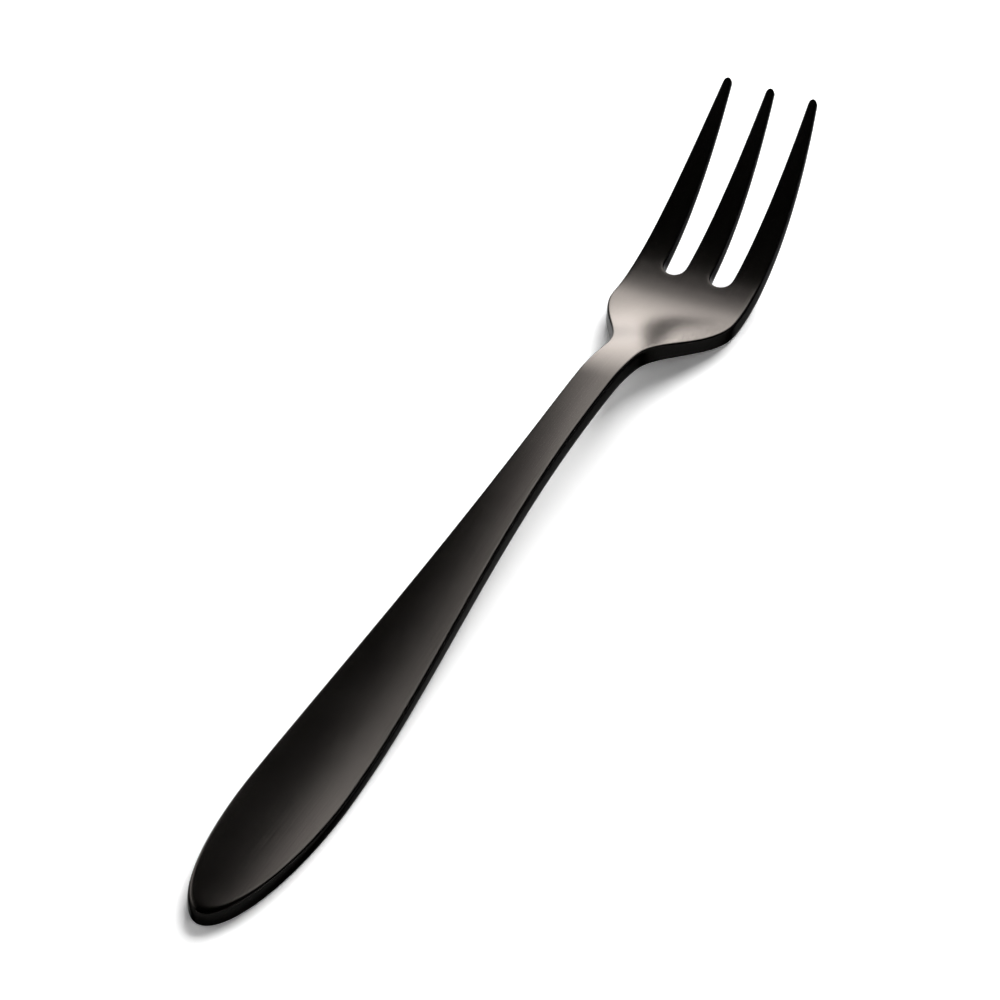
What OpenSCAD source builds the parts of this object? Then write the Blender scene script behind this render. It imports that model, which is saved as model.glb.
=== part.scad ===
// Oyster fork: one blank of sheet steel, cut, pressed and brushed.
// The handle lies along Y with the tines towards +Y, X runs across it and Z points up.
// The fork lies on the table, z = 0, on its handle end and on the back of its head.

/* [Handle] */
// Length of the rounded end, from the very end to the widest place
end_l = 22; // [14:0.5:30]
// How full the rounded end is, where 2 is an ellipse
end_fullness = 2.05; // [1.8:0.05:2.8]
// Width of the handle at its widest place
handle_w = 11.5; // [8:0.1:15]
// Thickness of the handle along its middle line
handle_t = 2.1; // [1.8:0.05:3]
// Radius of the crowned upper face, seen along the handle
crown_r = 34; // [28:1:120]
// Share of the taper at which the crown begins to tighten towards the neck
crown_turn = 0.76; // [0.3:0.02:0.9]
// Length of the taper from the widest place to the neck
taper_l = 69.8; // [45:0.1:95]
// How late the taper draws in, where 1 is even
taper_lean = 0.85; // [0.7:0.05:1.5]
// Length of the underside that lies on the table
rest_l = 21; // [10:0.5:22]
// Depth that is ground off the underside to make the rest face flat
rest_grind = 0.06; // [0.02:0.01:0.2]
// Length over which the very end is rounded over, seen from the side
nose_l = 0.9; // [0.6:0.1:4]

/* [Neck] */
// Length of the narrow neck
neck_l = 13.5; // [10:0.5:24]
// Width of the neck
neck_w = 4.6; // [3:0.1:6]
// Thickness of the neck
neck_t = 2.3; // [1.8:0.05:3]
// Radius of the crown across the neck
neck_crown_r = 20; // [16:1:120]
// Distance from the start of the neck to its highest place
arch_at = 6.4; // [3:0.1:10]
// Height of the underside over the table at the highest place
arch_h = 4.8; // [2:0.1:8]

/* [Head] */
// Length of the flare from the neck to the shoulders
flare_l = 15.9; // [11:0.1:24]
// How late the flare opens, where 1 is even
flare_lean = 1.1; // [0.8:0.05:1.6]
// Width over the shoulders
head_w = 16.2; // [14:0.1:20]
// Length from the shoulders to the bottoms of the slots
root_l = 6.1; // [3:0.1:12]
// Distance from the shoulders to the lowest place of the head
sole_at = 1.7; // [0:0.1:3]
// Thickness of the head
head_t = 2; // [1.5:0.05:2.6]
// Depth of the dish across the shoulders
dish_d = 0.1; // [0:0.05:0.8]

/* [Tines] */
// Length of the tines, measured along the table
tine_l = 22.7; // [16:0.1:30]
// Height of the middle of the tips over the table
tip_h = 16.8; // [8:0.1:20]
// How late the tines rise from the sole to the tips, where 1 is even
tine_rise = 1.85; // [1.6:0.05:2.4]
// Distance over the outer sides of the outer tips
tip_span = 12.4; // [11:0.1:15]
// How late the outer sides draw in from the shoulders to the tips, where 1 is even
side_lean = 2.8; // [1.5:0.05:4]
// Width of each tip
tip_w = 1; // [0.7:0.05:1.6]
// Thickness of each tip
tip_t = 0.9; // [0.7:0.05:1.5]
// Length over which each tip is rounded
tip_round = 0.4; // [0.3:0.05:1]
// Width of the middle tine at its root
middle_w = 3.3; // [2.4:0.1:4.4]
// Width of each slot at its bottom
slot_w = 2.9; // [2:0.1:3.6]

/* [Edges] */
// Radius of the upper edges of the handle and neck
upper_edge_r = 0.3; // [0.2:0.05:1.2]
// Radius of the lower edges of the handle and neck
lower_edge_r = 0.3; // [0.2:0.05:0.7]
// Radius of the edges of the head and tines
tine_edge_r = 0.25; // [0.15:0.05:0.5]

/* [Hidden] */

gunmetal = [0.17, 0.165, 0.165];
gunmetal_light = [0.3, 0.29, 0.285];

// Places along the table, from the very end of the handle
s_crown = end_l + crown_turn * taper_l;
s_neck = end_l + taper_l;
s_arch = s_neck + arch_at;
s_flare = s_neck + neck_l;
s_shoulder = s_flare + flare_l;
s_sole = s_shoulder + sole_at;
s_slot = s_shoulder + root_l;
s_tip = s_slot + tine_l;
// Distance from the very end to the first section, and the share of its size that a tip ends with
end_flat = 0.02;
tip_flat = 0.44;

// Steps along and around the surfaces
end_steps = 16;
taper_steps = 18;
neck_steps = 7;
head_steps = 18;
slot_steps = 5;
tine_steps = 12;
round_steps = 4;
under_steps = 2;
upper_steps = 6;
edge_steps = 2;

// Shares of the wall and of the half width that an edge radius may take up
upper_share = 0.55;
lower_share = 0.35;
width_share = 0.9;

// Share of the way from a to b, held between 0 and 1
function share(s, a, b) = min(1, max(0, (s - a) / (b - a)));

// Smooth step from p to q as s goes from a to b, later where lean is over 1
function ease(p, q, s, a, b, lean = 1) = p + (q - p) * (1 - cos(180 * pow(share(s, a, b), lean))) / 2;

// Height of a quarter round of unit size, from 0 at its start to 1 at its crown
function quarter(u) = sqrt(1 - pow(1 - min(1, u), 2));

// Half the width of the outline
function outline(s) =
    s < end_l ? handle_w / 2 * pow(1 - pow(1 - s / end_l, end_fullness), 1 / end_fullness)
    : s < s_flare ? ease(handle_w, neck_w, s, end_l, s_neck, taper_lean) / 2
    : s < s_shoulder ? ease(neck_w, head_w, s, s_flare, s_shoulder, flare_lean) / 2
    : (head_w + (tip_span - head_w) * pow(share(s, s_shoulder, s_tip), side_lean)) / 2;

// Thickness of the steel
function steel_t(s) =
    s < s_flare ? ease(handle_t, neck_t, s, end_l, s_neck)
    : s < s_slot ? ease(neck_t, head_t, s, s_flare, s_shoulder)
    : head_t + (tip_t - head_t) * share(s, s_slot, s_tip);

// Height of the middle of the steel: flat on the table, over the arch, down to the head, up the tines
function middle_z(s) =
    s < s_arch ? steel_t(s) / 2 + ease(-rest_grind, arch_h, s, rest_l, s_arch)
    : s < s_sole ? steel_t(s) / 2 + ease(arch_h, 0, s, s_arch, s_sole)
    : head_t / 2 + (tip_h - head_t / 2) * pow(share(s, s_sole, s_tip), tine_rise);

// Angle of the steel to the table
slope_step = 0.01;
function slope(s) =
    let (low = max(0, s - slope_step), high = min(s_tip, s + slope_step))
    atan((middle_z(high) - middle_z(low)) / (high - low));

// The crown tightens towards the neck and fades out over the flare, where the dish of the head begins
function crown(s) =
    s < s_flare ? ease(1 / crown_r, 1 / neck_crown_r, s, s_crown, s_neck)
    : ease(1 / neck_crown_r, 0, s, s_flare, s_shoulder);
function dish(s) = ease(0, dish_d / pow(head_w / 2, 2), s, s_flare, s_shoulder);

// Heights of the two faces over the middle of the steel, at a place x across it
function upper(x, s, thin) =
    let (t = steel_t(s) * thin, edge = min(lower_edge_r, t / 2))
    edge - t / 2 + (t - edge) * quarter(s / nose_l) - crown(s) * x * x / 2 + dish(s) * x * x;
function lower(x, s, thin) =
    let (t = steel_t(s) * thin, edge = min(lower_edge_r, t / 2))
    edge - t / 2 - edge * quarter(s / edge) + dish(s) * x * x;

// Edge radii, before the wall limits them
function upper_r(s) = ease(upper_edge_r, tine_edge_r, s, s_flare, s_shoulder);
function lower_r(s) = ease(lower_edge_r, tine_edge_r, s, s_flare, s_shoulder);

// A point at x across the steel and h over its middle, in the part's frame
function place(s, x, h) = [x, s - h * sin(slope(s)) - s_tip / 2, middle_z(s) + h * cos(slope(s))];

// An arc of an edge, as [x, h] pairs
function edge_arc(x, h, r, from) =
    [for (i = [0:edge_steps]) let (a = from + 90 * i / edge_steps) [x + r * cos(a), h + r * sin(a)]];

// The closed section of the steel between two sides, with its four edges rounded
function section(s, left, right, thin = 1) =
    let (wall = min([for (x = [left, right]) upper(x, s, thin) - lower(x, s, thin)]),
         half = (right - left) / 2,
         ru = min(upper_r(s), upper_share * wall, width_share * half),
         rl = min(lower_r(s), lower_share * wall, width_share * half),
         outline_points = concat(
             edge_arc(right - ru, upper(right - ru, s, thin) - ru, ru, 0),
             [for (i = [1:upper_steps - 1])
                 let (x = right - ru - 2 * (half - ru) * i / upper_steps) [x, upper(x, s, thin)]],
             edge_arc(left + ru, upper(left + ru, s, thin) - ru, ru, 90),
             edge_arc(left + rl, lower(left + rl, s, thin) + rl, rl, 180),
             [for (i = [1:under_steps - 1])
                 let (x = left + rl + 2 * (half - rl) * i / under_steps) [x, lower(x, s, thin)]],
             edge_arc(right - rl, lower(right - rl, s, thin) + rl, rl, 270)))
    [for (p = outline_points) place(s, p[0], p[1])];

// A solid through closed sections that follow each other along the fork
module loft(sections) {
    n = len(sections[0]);
    last = len(sections) - 1;
    first_cap = [for (i = [n - 1:-1:0]) i];
    last_cap = [for (i = [0:n - 1]) last * n + i];
    sides = [for (k = [0:last - 1], i = [0:n - 1])
        let (a = k * n + i, b = k * n + (i + 1) % n) each [[a, b, b + n], [a, b + n, a + n]]];
    polyhedron(points = [for (p = sections) each p], faces = concat([first_cap, last_cap], sides));
}

// Evenly spaced places from a to b
function even(a, b, steps) = [for (i = [0:steps]) a + (b - a) * i / steps];
function whole(s) = section(s, -outline(s), outline(s));

// Places of the tines' sections: round the slot bottoms, along the tines, round the tips
slot_r = slot_w / 2;
s_straight = s_slot + slot_r;
s_round = s_tip - tip_round;
slot_places = [for (i = [0:slot_steps]) s_slot + slot_r * (1 - cos(90 * i / slot_steps))];
tine_places = [for (i = [1:tine_steps]) s_straight + (s_round - s_straight) * i / tine_steps];
tip_places = [for (i = [1:round_steps]) s_round + tip_round * sin(90 * i / round_steps)];
tine_stations = concat(slot_places, tine_places, tip_places);

// How far a slot's round bottom stands in from its straight sides
function slot_inset(s) = s < s_straight ? slot_r * (1 - quarter((s - s_slot) / slot_r)) : 0;

// Sides of the tines, before their tips are rounded
function draw_in(s) = pow(share(s, s_slot, s_tip), 2);
function middle_side(s) = (middle_w + (tip_w - middle_w) * draw_in(s)) / 2 + slot_inset(s);
slot_side = middle_w / 2 + slot_w;
function inner_side(s) = slot_side + (tip_span / 2 - tip_w - slot_side) * draw_in(s) - slot_inset(s);

// Share of its size that a tine keeps at a place in its rounded tip
function tip_share(s) = max(tip_flat, sqrt(1 - pow(share(s, s_round, s_tip), 2)));

// A tine between two sides, each given at every place along it
module tine(left, right) {
    loft([for (i = [0:len(tine_stations) - 1])
        let (s = tine_stations[i],
             k = tip_share(s),
             centre = (left[i] + right[i]) / 2,
             half = k * (right[i] - left[i]) / 2)
        section(s, centre - half, centre + half, k)]);
}

middle_sides = [for (s = tine_stations) middle_side(s)];
inner_sides = [for (s = tine_stations) inner_side(s)];
outer_sides = [for (s = tine_stations) outline(s)];

module handle() {
    end_places = [for (i = [0:end_steps]) end_flat + (end_l - end_flat) * pow(i / end_steps, 2)];
    taper_places = [for (i = [1:taper_steps]) end_l + taper_l * i / taper_steps];
    color(gunmetal) difference() {
        loft([for (s = concat(end_places, taper_places)) whole(s)]);
        // Everything under the table plane is ground off
        translate([-handle_w, -s_tip / 2 - nose_l, -handle_t]) cube([2 * handle_w, s_neck, handle_t]);
    }
}

module neck() {
    color(gunmetal_light) loft([for (s = even(s_neck, s_flare, neck_steps)) whole(s)]);
}

module head() {
    color(gunmetal_light) loft([for (s = even(s_flare, s_slot, head_steps)) whole(s)]);
}

module left_tine() {
    color(gunmetal) tine(-outer_sides, -inner_sides);
}

module middle_tine() {
    color(gunmetal) tine(-middle_sides, middle_sides);
}

module right_tine() {
    color(gunmetal) tine(inner_sides, outer_sides);
}

handle();
neck();
head();
left_tine();
middle_tine();
right_tine();
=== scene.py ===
from math import cos, pi, radians, sin

import bmesh
import bpy
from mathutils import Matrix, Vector


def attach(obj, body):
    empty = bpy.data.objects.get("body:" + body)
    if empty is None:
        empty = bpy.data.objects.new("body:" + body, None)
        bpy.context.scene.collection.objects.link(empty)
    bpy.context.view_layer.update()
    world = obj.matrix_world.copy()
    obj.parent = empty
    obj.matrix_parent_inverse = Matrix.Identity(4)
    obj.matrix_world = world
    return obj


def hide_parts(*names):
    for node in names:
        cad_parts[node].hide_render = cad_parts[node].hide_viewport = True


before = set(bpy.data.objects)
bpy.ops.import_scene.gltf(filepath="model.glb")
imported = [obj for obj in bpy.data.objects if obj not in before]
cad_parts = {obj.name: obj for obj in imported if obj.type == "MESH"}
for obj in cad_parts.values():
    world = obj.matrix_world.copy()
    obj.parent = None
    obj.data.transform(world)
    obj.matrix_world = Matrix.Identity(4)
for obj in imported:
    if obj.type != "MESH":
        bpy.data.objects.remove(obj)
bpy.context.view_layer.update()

# The fork is one blank of stainless steel sheet, with no seam, rivet or second material.
# Its outline and its two slots are cut from the flat sheet, and the cut rim is rounded.
# The blank is drawn here in millimetres, from the end of the handle along y.
END_LENGTH = 22.0
END_FULLNESS = 2.05
HANDLE_WIDTH = 11.5
TAPER_LENGTH = 69.8
TAPER_LEAN = 0.85
NECK_LENGTH = 13.5
NECK_WIDTH = 4.6
FLARE_LENGTH = 15.9
FLARE_LEAN = 1.1
HEAD_WIDTH = 16.2
ROOT_LENGTH = 6.1
TINE_LENGTH = 22.7
TIP_SPAN = 12.4
SIDE_LEAN = 2.8
TIP_WIDTH = 1.0
TIP_ROUND = 0.4
MIDDLE_WIDTH = 3.3
SLOT_WIDTH = 2.9
NOSE_ROUND = 0.9
UPPER_ROUND = 0.3
LOWER_ROUND = 0.3
TINE_ROUND = 0.25

NECK_AT = END_LENGTH + TAPER_LENGTH
FLARE_AT = NECK_AT + NECK_LENGTH
SHOULDER_AT = FLARE_AT + FLARE_LENGTH
SLOT_AT = SHOULDER_AT + ROOT_LENGTH
TIP_AT = SLOT_AT + TINE_LENGTH
SLOT_RADIUS = SLOT_WIDTH / 2
FORK_AT = SLOT_AT + SLOT_RADIUS
SLOT_SIDE = MIDDLE_WIDTH / 2 + SLOT_WIDTH
STRAIGHT_TIP = TIP_AT - TIP_ROUND

TINE_COLUMNS = 4
SLOT_COLUMNS = 6
COLUMNS = 3 * TINE_COLUMNS + 2 * SLOT_COLUMNS
ROW_STEP = 0.9
END_TURN = radians(50)
END_ROWS = 14
ROOT_ROWS = 4
ROOT_REACH = 1.6
TIP_TURN = radians(45)
TIP_ROWS = 3
ROUND_STEPS = 4
FACE_INSET = 12.4


def share(s, start, end):
    return min(1.0, max(0.0, (s - start) / (end - start)))


def ease(first, last, s, start, end, lean=1.0):
    return first + (last - first) * (1 - cos(pi * share(s, start, end) ** lean)) / 2


def half_width(s):
    if s < FLARE_AT:
        return ease(HANDLE_WIDTH, NECK_WIDTH, s, END_LENGTH, NECK_AT, TAPER_LEAN) / 2
    if s < SHOULDER_AT:
        return ease(NECK_WIDTH, HEAD_WIDTH, s, FLARE_AT, SHOULDER_AT, FLARE_LEAN) / 2
    drawn = share(s, SHOULDER_AT, TIP_AT) ** SIDE_LEAN
    return (HEAD_WIDTH + (TIP_SPAN - HEAD_WIDTH) * drawn) / 2


def end_point(turn):
    """A point of the handle's rounded end, turned from its middle towards the right side."""
    power = 2 / END_FULLNESS
    across = abs(sin(turn)) ** power
    side = 1 if turn > 0 else -1
    return Vector((side * across * HANDLE_WIDTH / 2, END_LENGTH * (1 - cos(turn) ** power)))


def tine_sides(tine, s):
    """The left and right side of tine -1, 0 or 1 at a length s."""
    drawn = share(s, SLOT_AT, TIP_AT) ** 2
    if tine == 0:
        half = (MIDDLE_WIDTH + (TIP_WIDTH - MIDDLE_WIDTH) * drawn) / 2
        return -half, half
    inner = SLOT_SIDE + (TIP_SPAN / 2 - TIP_WIDTH - SLOT_SIDE) * drawn
    return (inner, half_width(s)) if tine == 1 else (-half_width(s), -inner)


def tine_outline(tine):
    """The right side up, round the tip, and down the left side, as three lists."""
    count = round((STRAIGHT_TIP - FORK_AT) / ROW_STEP)
    stations = [FORK_AT + (STRAIGHT_TIP - FORK_AT) * i / count for i in range(count + 1)]
    sides = [tine_sides(tine, s) for s in stations]
    right = [Vector((pair[1], s)) for pair, s in zip(sides, stations)]
    left = [Vector((pair[0], s)) for pair, s in zip(sides, stations)]

    def round_tip(turn):
        s = STRAIGHT_TIP + TIP_ROUND * sin(turn)
        low, high = tine_sides(tine, s)
        return Vector(((low + high) / 2 + (high - low) / 2 * cos(turn), s))

    for i in range(1, TIP_ROWS + 1):
        right.append(round_tip(TIP_TURN * i / TIP_ROWS))
        left.append(round_tip(pi - TIP_TURN * i / TIP_ROWS))
    turns = [TIP_TURN + (pi - 2 * TIP_TURN) * i / TINE_COLUMNS for i in range(1, TINE_COLUMNS)]
    return right, [round_tip(turn) for turn in turns], left[::-1]


def slot_outline(side):
    """The slot's round bottom from right to left, without its two ends."""
    middle = side * (MIDDLE_WIDTH / 2 + SLOT_RADIUS)
    turns = [pi * i / SLOT_COLUMNS for i in range(1, SLOT_COLUMNS)]
    return [Vector((middle + SLOT_RADIUS * cos(t), FORK_AT - SLOT_RADIUS * sin(t))) for t in turns]


end_turns = [END_TURN * (2 * i / COLUMNS - 1) for i in range(COLUMNS + 1)]
end_arc = [end_point(turn) for turn in end_turns]
side_turns = [END_TURN + (pi / 2 - END_TURN) * i / END_ROWS for i in range(1, END_ROWS + 1)]
right_side = [end_point(turn) for turn in side_turns]
root_at = SLOT_AT - ROOT_REACH
row_count = round((root_at - END_LENGTH) / ROW_STEP)
for i in range(1, row_count + 1):
    s = END_LENGTH + (root_at - END_LENGTH) * i / row_count
    right_side.append(Vector((half_width(s), s)))
for i in range(1, ROOT_ROWS):
    s = root_at + (FORK_AT - root_at) * i / ROOT_ROWS
    right_side.append(Vector((half_width(s), s)))
left_side = [Vector((-p.x, p.y)) for p in reversed(right_side)]

outline = []
runs = {}


def run(name, points):
    """Adds a named run of points to the outline, which goes round anticlockwise."""
    runs[name] = (len(outline), len(outline) + len(points))
    outline.extend(points)


run("end", end_arc)
run("right", right_side)
for tine in (1, 0, -1):
    for part, points in zip(("up", "tip", "down"), tine_outline(tine)):
        run((tine, part), points)
    if tine > -1:
        run(("slot", tine), slot_outline(1 if tine == 1 else -1))
run("left", left_side)


def outward(i):
    """The outline's normal at a point, from the circle through it and its two neighbours."""
    before = outline[i] - outline[i - 1]
    after = outline[(i + 1) % len(outline)] - outline[i]
    along = before / before.length_squared + after / after.length_squared
    return Vector((along.y, -along.x)).normalized()


def rim_round(s, handle_round):
    return ease(handle_round, TINE_ROUND, s, FLARE_AT, SHOULDER_AT)


def inward(i, upper):
    """From a point of the cut edge to where the rounded rim runs out into the face."""
    point = outline[i]
    normal = outward(i)
    if not upper or point.y >= END_LENGTH:
        return -rim_round(point.y, UPPER_ROUND if upper else LOWER_ROUND) * normal
    across = point.x / (HANDLE_WIDTH / 2)
    along = 1 - point.y / END_LENGTH
    return Vector((-UPPER_ROUND * across, NOSE_ROUND * along))


blank = bmesh.new()
inset_layer = blank.verts.layers.float.new("inset")
round_layer = blank.verts.layers.float.new("rim_round")
upper_layer = blank.verts.layers.float.new("upper")


def corner(point, inset, rounding, upper):
    vert = blank.verts.new((point.x, point.y, 1.0 if upper else 0.0))
    vert[inset_layer] = inset
    vert[round_layer] = rounding
    vert[upper_layer] = 1.0 if upper else 0.0
    return vert


def skin(rows, upper):
    """Quads between rows of corners, each row from left to right."""
    for low, high in zip(rows, rows[1:]):
        for i in range(len(low) - 1):
            quad = [low[i], low[i + 1], high[i + 1], high[i]]
            blank.faces.new(quad if upper else quad[::-1])


def face(upper):
    """One face of the blank inside its rounded rim, as the corners along its border."""
    reach = [inward(i, upper) for i in range(len(outline))]
    border = [corner(p + v, v.length, v.length, upper) for p, v in zip(outline, reach)]
    part = {name: border[first:last] for name, (first, last) in runs.items()}

    def inner(point):
        """A corner further in than any rounding of the rim reaches."""
        return corner(point, FACE_INSET, UPPER_ROUND, upper)

    def bowed_row(left, right, shares, bow, pull):
        """A row of corners between two border corners, pulled towards a bowed end."""
        start, end = left.co.xy, right.co.xy
        row = [left]
        for f, away in zip(shares[1:-1], bow):
            row.append(inner(start.lerp(end, f) + away * pull))
        return row + [right]

    front = []
    for tine in (-1, 0, 1):
        right, tip, left = part[tine, "up"], part[tine, "tip"], part[tine, "down"][::-1]
        shares = [i / TINE_COLUMNS for i in range(TINE_COLUMNS + 1)]
        top = [left[-1]] + tip[::-1] + [right[-1]]
        bow = [v.co.xy - top[0].co.xy.lerp(top[-1].co.xy, f) for v, f in zip(top, shares)][1:-1]
        rows = []
        for i, ends in enumerate(zip(left[:-1], right[:-1])):
            pull = max(0.0, 1 - (len(left) - 1 - i) / (2 * TIP_ROWS)) ** 2
            rows.append(bowed_row(*ends, shares, bow, pull))
        skin(rows + [top], upper)
        front += rows[0]
        if tine < 1:
            front += part["slot", tine + 1][::-1]

    left_border = [part["end"][0]] + part["left"][::-1]
    right_border = [part["end"][-1]] + part["right"]
    even = [i / COLUMNS for i in range(COLUMNS + 1)]
    span = front[-1].co.x - front[0].co.x
    slotted = [(v.co.x - front[0].co.x) / span for v in front]
    arc = [v.co.xy for v in part["end"]]
    bow = [p - arc[0].lerp(arc[-1], f) for p, f in zip(arc, even)][1:-1]
    rows = [part["end"]]
    full_rows = len(left_border) - ROOT_ROWS + 1
    for i in range(1, full_rows):
        s = left_border[i].co.y
        turn_to = ease(0, 1, s, FLARE_AT, root_at)
        shares = [a + (b - a) * turn_to for a, b in zip(even, slotted)]
        pull = max(0.0, 1 - i / END_ROWS) ** 2
        rows.append(bowed_row(left_border[i], right_border[i], shares, bow, pull))
    last_row = [v.co.xy for v in rows[-1]]
    for i in range(1, ROOT_ROWS):
        row = [left_border[full_rows - 1 + i]]
        for low, high in zip(last_row[1:-1], front[1:-1]):
            row.append(inner(low.lerp(high.co.xy, i / ROOT_ROWS)))
        rows.append(row + [right_border[full_rows - 1 + i]])
    skin(rows + [front], upper)
    return border


def rim(border, upper):
    """Loops of corners that roll from a face's border down to the cut edge."""
    loops = [border]
    reach = [inward(i, upper) for i in range(len(outline))]
    for step in range(1, ROUND_STEPS + 1):
        left = 1 - sin(pi / 2 * step / ROUND_STEPS)
        loops.append([
            corner(p + v * left, v.length * left, v.length, upper) for p, v in zip(outline, reach)
        ])
    return loops


upper_loops = rim(face(True), True)
lower_loops = rim(face(False), False)
loops = upper_loops + lower_loops[::-1]
for above, below in zip(loops, loops[1:]):
    for i in range(len(outline)):
        blank.faces.new([above[i - 1], below[i - 1], below[i], above[i]])

blank_mesh = bpy.data.meshes.new("fork")
blank.to_mesh(blank_mesh)
blank.free()
fork = bpy.data.objects.new("fork", blank_mesh)
bpy.context.scene.collection.objects.link(fork)


class Wire:
    """An output socket of a node tree. Python's operators on wires add Math nodes."""

    def __init__(self, tree, socket=None):
        self.tree = tree
        self.socket = socket

    def node(self, kind, settings, links, output=0):
        """Adds a node: its settings first, then a value or a wire for each socket."""
        made = self.tree.nodes.new(kind)
        for name, value in settings.items():
            setattr(made, name, value)
        for name, value in links.items():
            socket = self.find(made.inputs, name)
            if isinstance(value, Wire):
                self.tree.links.new(value.socket, socket)
            else:
                socket.default_value = value
        return Wire(self.tree, self.find(made.outputs, output) if made.outputs else None)

    @staticmethod
    def find(sockets, key):
        """A socket by its number, its identifier or its name."""
        if isinstance(key, int):
            return sockets[key]
        named = [s for s in sockets if s.identifier == key]
        return named[0] if named else sockets[key]

    def math(self, operation, *values):
        return self.node("ShaderNodeMath", {"operation": operation}, dict(enumerate(values)))

    def axis(self, name):
        """The X, Y or Z of a wire that carries a place."""
        return self.node("ShaderNodeSeparateXYZ", {}, {"Vector": self}, name)

    def passed(self, start, end, kind="SMOOTHSTEP"):
        """How far a value lies on the way from start to end, from 0 to 1."""
        settings = {"interpolation_type": kind, "clamp": True}
        links = {"Value": self, "From Min": start, "From Max": end}
        return self.node("ShaderNodeMapRange", settings, links)

    def blend(self, part, first, second):
        """A colour on the way from the first to the second, by a part from 0 to 1."""
        links = {"Factor": part, "A_Color": first, "B_Color": second}
        return self.node("ShaderNodeMix", {"data_type": "RGBA"}, links, "Result_Color")

    def __add__(self, other):
        return self.math("ADD", self, other)

    def __sub__(self, other):
        return self.math("SUBTRACT", self, other)

    def __rsub__(self, other):
        return self.math("SUBTRACT", other, self)

    def __mul__(self, other):
        return self.math("MULTIPLY", self, other)

    def __truediv__(self, other):
        return self.math("DIVIDE", self, other)

    def __rtruediv__(self, other):
        return self.math("DIVIDE", other, self)

    __radd__ = __add__
    __rmul__ = __mul__


# The press gives the flat blank its side view and its sections: a flat rest, a low arch
# before the head, a dished root and tines that rise. It thins the tines towards the tips,
# crowns the handle and rolls the rim over. Each corner moves by the same rule.
ARCH_PAST_NECK = 6.4
SOLE_PAST_SHOULDER = 1.7
CROWN_TURN = 0.76
CROWN_TURN_AT = END_LENGTH + CROWN_TURN * TAPER_LENGTH
SLOPE_STEP = 0.5
MM = 0.001
PRESS_SIZES = {
    "Handle thickness": 2.1,
    "Neck thickness": 2.3,
    "Head thickness": 2.0,
    "Tip thickness": 0.9,
    "Crown radius": 34.0,
    "Neck crown radius": 20.0,
    "Dish depth": 0.1,
    "Rest length": 21.0,
    "Rest grind": 0.06,
    "Arch at": NECK_AT + ARCH_PAST_NECK,
    "Arch height": 4.8,
    "Sole at": SHOULDER_AT + SOLE_PAST_SHOULDER,
    "Tip height": 16.8,
    "Tine rise": 1.85,
}

press = bpy.data.node_groups.new("fork_press", "GeometryNodeTree")
press.interface.new_socket("Geometry", in_out="INPUT", socket_type="NodeSocketGeometry")
press.interface.new_socket("Geometry", in_out="OUTPUT", socket_type="NodeSocketGeometry")
press_sockets = {
    name: press.interface.new_socket(name, in_out="INPUT", socket_type="NodeSocketFloat")
    for name in PRESS_SIZES
}
given = press.nodes.new("NodeGroupInput")
size = {name: Wire(press, given.outputs[name]) for name in PRESS_SIZES}
tool = Wire(press)


def stored(name):
    return tool.node("GeometryNodeInputNamedAttribute", {"data_type": "FLOAT"}, {"Name": name})


def rolled_thickness(s):
    handle, neck = size["Handle thickness"], size["Neck thickness"]
    to_neck = s.passed(END_LENGTH, NECK_AT) * (neck - handle)
    to_head = s.passed(FLARE_AT, SHOULDER_AT) * (size["Head thickness"] - neck)
    return handle + to_neck + to_head


def side_height(s):
    """The height of the middle of the sheet over the table, at a length s."""
    arch = size["Arch height"]
    up = s.passed(size["Rest length"], size["Arch at"]) * (arch + size["Rest grind"])
    down = s.passed(size["Arch at"], size["Sole at"]) * arch
    risen = tool.math("POWER", s.passed(size["Sole at"], TIP_AT, "LINEAR"), size["Tine rise"])
    lift = (size["Tip height"] - size["Head thickness"] / 2) * risen
    return rolled_thickness(s) / 2 - size["Rest grind"] + up - down + lift


place = tool.node("GeometryNodeInputPosition", {}, {})
across = place.axis("X")
length = place.axis("Y")

thinned = length.passed(SLOT_AT, TIP_AT, "LINEAR")
thickness = rolled_thickness(length) + thinned * (size["Tip thickness"] - size["Head thickness"])
flared = length.passed(FLARE_AT, SHOULDER_AT)
tightened = length.passed(CROWN_TURN_AT, NECK_AT)
bend = 1 / size["Crown radius"]
bend = bend + tightened * (1 / size["Neck crown radius"] - bend)
crown = (1 - flared) * across * across * bend / 2
dish = flared * across * across * size["Dish depth"] / (HEAD_WIDTH / 2) ** 2
rounding = stored("rim_round")
rolled = 1 - tool.math("MINIMUM", 1.0, stored("inset") / rounding)
depth = tool.math("MINIMUM", rounding, thickness - LOWER_ROUND)
drop = depth * (1 - tool.math("SQRT", tool.math("MAXIMUM", 0.0, 1 - rolled * rolled)))
upper_height = thickness / 2 - crown - drop
lower_height = drop - thickness / 2
height = lower_height + stored("upper") * (upper_height - lower_height) + dish

slope = (side_height(length + SLOPE_STEP) - side_height(length - SLOPE_STEP)) / (2 * SLOPE_STEP)
lean = tool.math("SQRT", slope * slope + 1)
along = length - height * slope / lean - TIP_AT / 2
up = tool.math("MAXIMUM", 0.0, side_height(length) + height / lean)
pressed = tool.node("ShaderNodeCombineXYZ", {}, {"X": across * MM, "Y": along * MM, "Z": up * MM})

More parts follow.
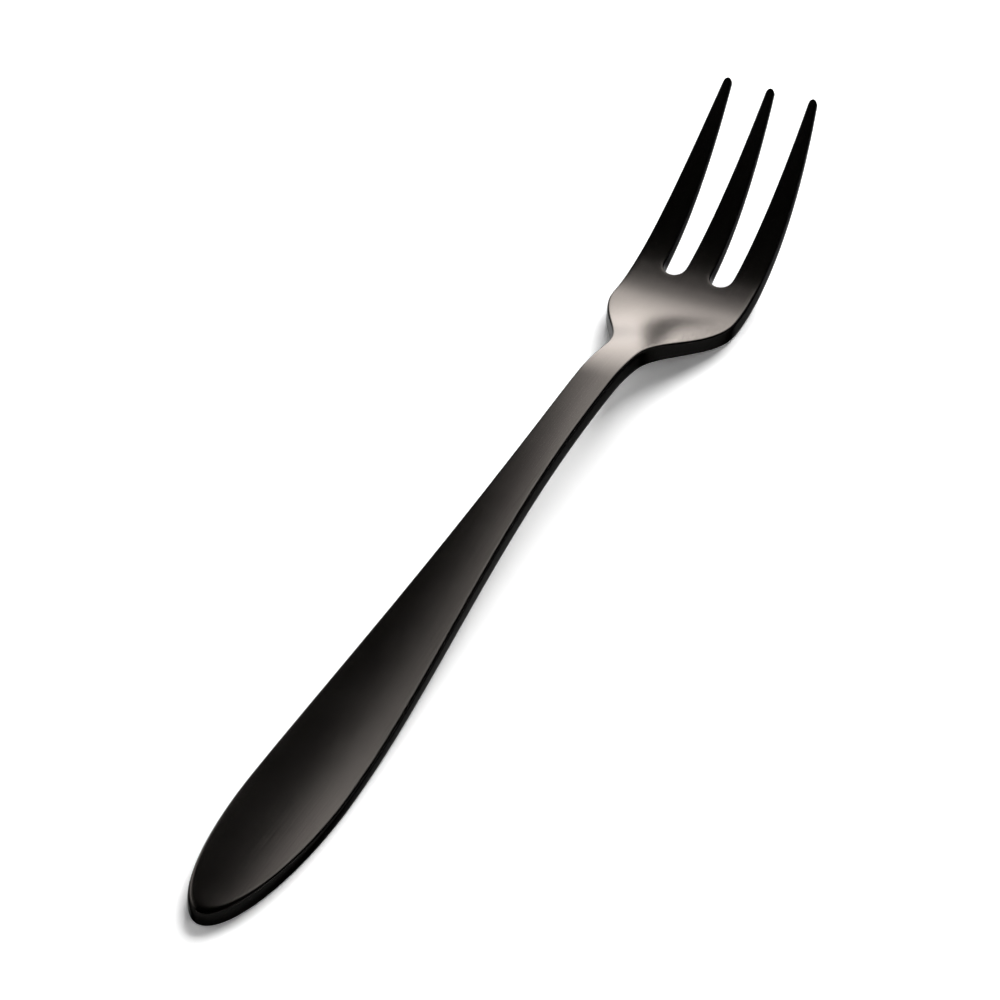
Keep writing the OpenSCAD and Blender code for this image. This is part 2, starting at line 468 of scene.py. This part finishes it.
# The steel is brushed along its length and coated dark, slightly warm in tone, so that it
# mirrors the room dimly, drawn out across the brushing lines. Handling has dulled it in
# patches. The cut rim is coloured near black: painted shade for the dark reflection of its walls.
STEEL_DARK = (0.063, 0.0592, 0.0553, 1.0)
STEEL_LIGHT = (0.0945, 0.0889, 0.083, 1.0)
# The cut rim's near-black colour is painted shade, standing in for the dark reflection its side
# walls show.
CUT_PAINTED_SHADE = (0.005, 0.0048, 0.0046, 1.0)
STEEL_EDGE_TINT = (0.46, 0.46, 0.46, 1.0)
BRUSH_SCALE = (9000.0, 60.0, 900.0)
BRUSH_DETAIL = 3.0
BRUSH_ROUGHNESS = 0.6
BRUSH_DEPTH = 0.000012
PATCH_SCALE = 90.0
PATCH_DETAIL = 4.0
TONE_PATCHES = 0.6
DULL_PATCHES = 0.7
DULL_LEAST = 0.3
DULL_MOST = 0.7
ROUGH_LOW = 0.18
ROUGH_HIGH = 0.24
# The part of the rim's rounding next to the cut edge that takes the painted shade in full; the
# shade fades out towards the face.
PAINTED_SHADE_SHARE = 0.3


def new_finish(name):
    """A material with no nodes yet, and a wire that adds them."""
    material = bpy.data.materials.new(name)
    material.use_nodes = True
    material.node_tree.nodes.clear()
    return material, Wire(material.node_tree)


steel, coat = new_finish("dark_brushed_steel")
where = coat.node("ShaderNodeTexCoord", {}, {}, "Object")
lines_at = coat.node("ShaderNodeMapping", {}, {"Vector": where, "Scale": BRUSH_SCALE})
lines = coat.node("ShaderNodeTexNoise", {}, {
    "Vector": lines_at,
    "Scale": 1.0,
    "Detail": BRUSH_DETAIL,
    "Roughness": BRUSH_ROUGHNESS,
})
patches = coat.node("ShaderNodeTexNoise", {}, {
    "Vector": where,
    "Scale": PATCH_SCALE,
    "Detail": PATCH_DETAIL,
})
tone = patches * TONE_PATCHES + lines * (1 - TONE_PATCHES)
rolled_steel = coat.blend(tone, STEEL_DARK, STEEL_LIGHT)
edge_gap = coat.node("ShaderNodeAttribute", {"attribute_name": "inset"}, {}, "Fac")
edge_round = coat.node("ShaderNodeAttribute", {"attribute_name": "rim_round"}, {}, "Fac")
# Painted shade on the cut rim: the colour turns near black towards the cut edge.
painted_shade_mask = (edge_gap / edge_round).passed(1.0, PAINTED_SHADE_SHARE)
colour = coat.blend(painted_shade_mask, rolled_steel, CUT_PAINTED_SHADE)
roughness = coat.node("ShaderNodeMapRange", {}, {
    "Value": patches * DULL_PATCHES + lines * (1 - DULL_PATCHES),
    "From Min": DULL_LEAST,
    "From Max": DULL_MOST,
    "To Min": ROUGH_LOW,
    "To Max": ROUGH_HIGH,
})
brushed = coat.node("ShaderNodeBump", {}, {"Height": lines, "Distance": BRUSH_DEPTH})
surface = coat.node("ShaderNodeBsdfPrincipled", {}, {
    "Base Color": colour,
    "Roughness": roughness,
    "Metallic": 1.0,
    "Specular Tint": STEEL_EDGE_TINT,
    "Normal": brushed,
})
coat.node("ShaderNodeOutputMaterial", {}, {"Surface": surface})

flat = Wire(press, given.outputs["Geometry"])
moved = tool.node("GeometryNodeSetPosition", {}, {"Geometry": flat, "Position": pressed})
smooth = tool.node("GeometryNodeSetShadeSmooth", {}, {"Geometry": moved})
whole = tool.node("GeometryNodeRealizeInstances", {}, {"Geometry": smooth})
coated = tool.node("GeometryNodeSetMaterial", {}, {"Geometry": whole, "Material": steel})
taken = press.nodes.new("NodeGroupOutput")
press.links.new(coated.socket, taken.inputs[0])

pressing = fork.modifiers.new("press", "NODES")
pressing.node_group = press
for name, value in PRESS_SIZES.items():
    pressing[press_sockets[name].identifier] = value
bpy.context.view_layer.update()
evaluated = fork.evaluated_get(bpy.context.evaluated_depsgraph_get())
fork_mesh = bpy.data.meshes.new_from_object(evaluated)
fork.modifiers.remove(pressing)
fork.data = fork_mesh
fork.data.name = "fork"

refine = fork.modifiers.new("refine", "SUBSURF")
refine.levels = 1
refine.render_levels = 1

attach(fork, "root")
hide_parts("handle", "neck", "head", "left_tine", "middle_tine", "right_tine")

# The fork lies on a plain white table top, which turns up into a low white wall all round.
# Both are one matt sheet, so that no line shows behind the fork. To the eye and in the steel
# it is a little brighter than it lights the room, so that only shadows show on it.
FLOOR_WHITE = (0.95, 0.95, 0.95, 1.0)
FLOOR_SEEN = (1.2, 1.2, 1.2, 1.0)
FLOOR_RADIUS = 1.4
WALL_HEIGHT = 0.52
WALL_TURN = 0.40
WALL_TURN_STEPS = 8
FLOOR_SIDES = 96

flat_radius = FLOOR_RADIUS - WALL_TURN
sweep = [(flat_radius, 0.0)]
for i in range(1, WALL_TURN_STEPS + 1):
    turn = pi / 2 * i / WALL_TURN_STEPS
    sweep.append((flat_radius + WALL_TURN * sin(turn), WALL_TURN * (1 - cos(turn))))
sweep.append((FLOOR_RADIUS, WALL_HEIGHT))
floor_mesh = bmesh.new()
centre = floor_mesh.verts.new((0, 0, 0))
turns = [2 * pi * i / FLOOR_SIDES for i in range(FLOOR_SIDES)]
rings = []
for radius, z in sweep:
    rings.append([floor_mesh.verts.new((radius * cos(t), radius * sin(t), z)) for t in turns])
for i in range(FLOOR_SIDES):
    floor_mesh.faces.new([rings[0][i - 1], rings[0][i], centre])
for low, high in zip(rings, rings[1:]):
    for i in range(FLOOR_SIDES):
        floor_mesh.faces.new([low[i - 1], high[i - 1], high[i], low[i]])
floor_data = bpy.data.meshes.new("floor")
floor_mesh.to_mesh(floor_data)
floor_mesh.free()
for polygon in floor_data.polygons:
    polygon.use_smooth = True
floor = bpy.data.objects.new("floor", floor_data)
bpy.context.scene.collection.objects.link(floor)
white, matt = new_finish("matt_white")
seen = matt.node("ShaderNodeLightPath", {}, {}, "Is Camera Ray")
mirrored = matt.node("ShaderNodeLightPath", {}, {}, "Is Glossy Ray")
through = matt.node("ShaderNodeLightPath", {}, {}, "Is Transmission Ray")
looked_at = matt.math("MAXIMUM", seen, matt.math("MAXIMUM", mirrored, through))
shade = matt.blend(looked_at, FLOOR_WHITE, FLOOR_SEEN)
sheet = matt.node("ShaderNodeBsdfDiffuse", {}, {"Color": shade})
matt.node("ShaderNodeOutputMaterial", {}, {"Surface": sheet})
floor_data.materials.append(white)
floor.visible_shadow = False

# Two lit cloths show in the steel alone. One hangs behind the head and to the left, brightest
# low down, and fades upwards and to its left side. A weaker one hangs far out at the left.
# Three soft boxes, the strongest at the back, light the table, and the room above is dark.
ROOM = (0.012, 0.012, 0.012, 1.0)
CLOTH_COLOUR = (1.0, 0.965, 0.955, 1.0)
BACK_AT = 0.22
BACK_LEFT = -0.20
BACK_RIGHT = 0.02
BACK_TOP = 0.55
LOW_STRENGTH = 15.0
LOW_REACH = 0.08
LOW_LEAN = 1.5
LOW_RIGHT = -0.008
LOW_EDGE = 0.025
LOW_LEFT = -0.115
LOW_FADE = 0.036
HIGH_STRENGTH = 2.1
HIGH_LEFT = -0.075
HIGH_FADE = 0.02
HIGH_FULL = 0.33
HIGH_FADED = 0.43
SIDE_AT = -0.9
SIDE_FRONT = -0.35
SIDE_BACK = 1.35
SIDE_TOP = 0.8
SIDE_STRENGTH = 2.2
SIDE_FULL = 0.70
SIDE_FADED = 0.94
SIDE_LOW_FULL = 0.38


def hang_cloth(name, corners):
    """A cloth with four corners, given as a wire with the place on it."""
    mesh = bpy.data.meshes.new(name)
    mesh.from_pydata(corners, [], [(0, 1, 2, 3)])
    cloth = bpy.data.objects.new(name, mesh)
    cloth.visible_camera = False
    cloth.visible_diffuse = False
    cloth.visible_shadow = False
    bpy.context.scene.collection.objects.link(cloth)
    weave, thread = new_finish(name)
    mesh.materials.append(weave)
    return thread.node("ShaderNodeTexCoord", {}, {}, "Object")


def light_cloth(strength):
    glow = strength.node("ShaderNodeEmission", {}, {"Color": CLOTH_COLOUR, "Strength": strength})
    strength.node("ShaderNodeOutputMaterial", {}, {"Surface": glow})


def side_fade(place, edge, reach):
    """Falls off from 1 to the left of an edge, to a little over a third in each reach."""
    leftward = place.math("MAXIMUM", 0.0, (edge - place) / reach)
    return place.math("EXPONENT", 0 - leftward)


def foot_fade(place, reach, lean):
    """Falls off from 1 at the foot, to a little over a third at a reach above it."""
    return place.math("EXPONENT", 0 - place.math("POWER", place / reach, lean))


back_place = hang_cloth("back_cloth", [
    (BACK_LEFT, BACK_AT, 0.0),
    (BACK_RIGHT, BACK_AT, 0.0),
    (BACK_RIGHT, BACK_AT, BACK_TOP),
    (BACK_LEFT, BACK_AT, BACK_TOP),
])
across = back_place.axis("X")
upward = back_place.axis("Z")
low_part = foot_fade(upward, LOW_REACH, LOW_LEAN) * side_fade(across, LOW_LEFT, LOW_FADE)
low_part = low_part * across.passed(LOW_RIGHT, LOW_RIGHT - LOW_EDGE)
high_part = upward.passed(HIGH_FADED, HIGH_FULL) * side_fade(across, HIGH_LEFT, HIGH_FADE)
light_cloth(low_part * LOW_STRENGTH + high_part * HIGH_STRENGTH)

side_place = hang_cloth("side_cloth", [
    (SIDE_AT, SIDE_FRONT, 0.0),
    (SIDE_AT, SIDE_BACK, 0.0),
    (SIDE_AT, SIDE_BACK, SIDE_TOP),
    (SIDE_AT, SIDE_FRONT, SIDE_TOP),
])
near_part = side_place.axis("Y").passed(SIDE_FADED, SIDE_FULL)
low_part = side_place.axis("Z").passed(SIDE_TOP, SIDE_LOW_FULL)
light_cloth(near_part * low_part * SIDE_STRENGTH)

# Each soft box has its place and its width in metres, and its watts.
LAMPS = {
    "back_box": ((-0.1, 2.15, 1.05), 1.8, 144.0),
    "left_box": ((-2.16, -0.24, 1.68), 1.92, 12.0),
    "right_box": ((2.16, -0.48, 1.68), 1.92, 10.0),
}
room = bpy.data.worlds.new("room")
bpy.context.scene.world = room
room.use_nodes = True
room.node_tree.nodes["Background"].inputs["Color"].default_value = ROOM
for name, (at, wide, watts) in LAMPS.items():
    lamp = bpy.data.lights.new(name, "AREA")
    lamp.size = wide
    lamp.energy = watts
    box = bpy.data.objects.new(name, lamp)
    box.location = at
    box.rotation_mode = "QUATERNION"
    box.rotation_quaternion = (-Vector(at)).to_track_quat("-Z", "Y")
    box.visible_camera = False
    box.visible_glossy = False
    bpy.context.scene.collection.objects.link(box)

# The camera stands where the photograph was taken from: to the right of the handle's end,
# looking down along the fork with a long lens.
CAMERA_AZIMUTH = radians(25.695)
CAMERA_ELEVATION = radians(37.313)
CAMERA_DISTANCE = 0.600
CAMERA_AIM = Vector((-0.00113, 0.00005, 0.00418))
CAMERA_LENS = 188.4
CAMERA_SENSOR = 36.0

back = Vector((
    sin(CAMERA_AZIMUTH) * cos(CAMERA_ELEVATION),
    -cos(CAMERA_AZIMUTH) * cos(CAMERA_ELEVATION),
    sin(CAMERA_ELEVATION),
))
camera_data = bpy.data.cameras.new("camera")
camera_data.sensor_width = CAMERA_SENSOR
camera_data.lens = CAMERA_LENS
camera = bpy.data.objects.new("camera", camera_data)
camera.location = CAMERA_AIM + back * CAMERA_DISTANCE
camera.rotation_mode = "QUATERNION"
camera.rotation_quaternion = (-back).to_track_quat("-Z", "Y")
bpy.context.scene.collection.objects.link(camera)
bpy.context.scene.camera = camera
bpy.context.scene.view_settings.view_transform = "Standard"
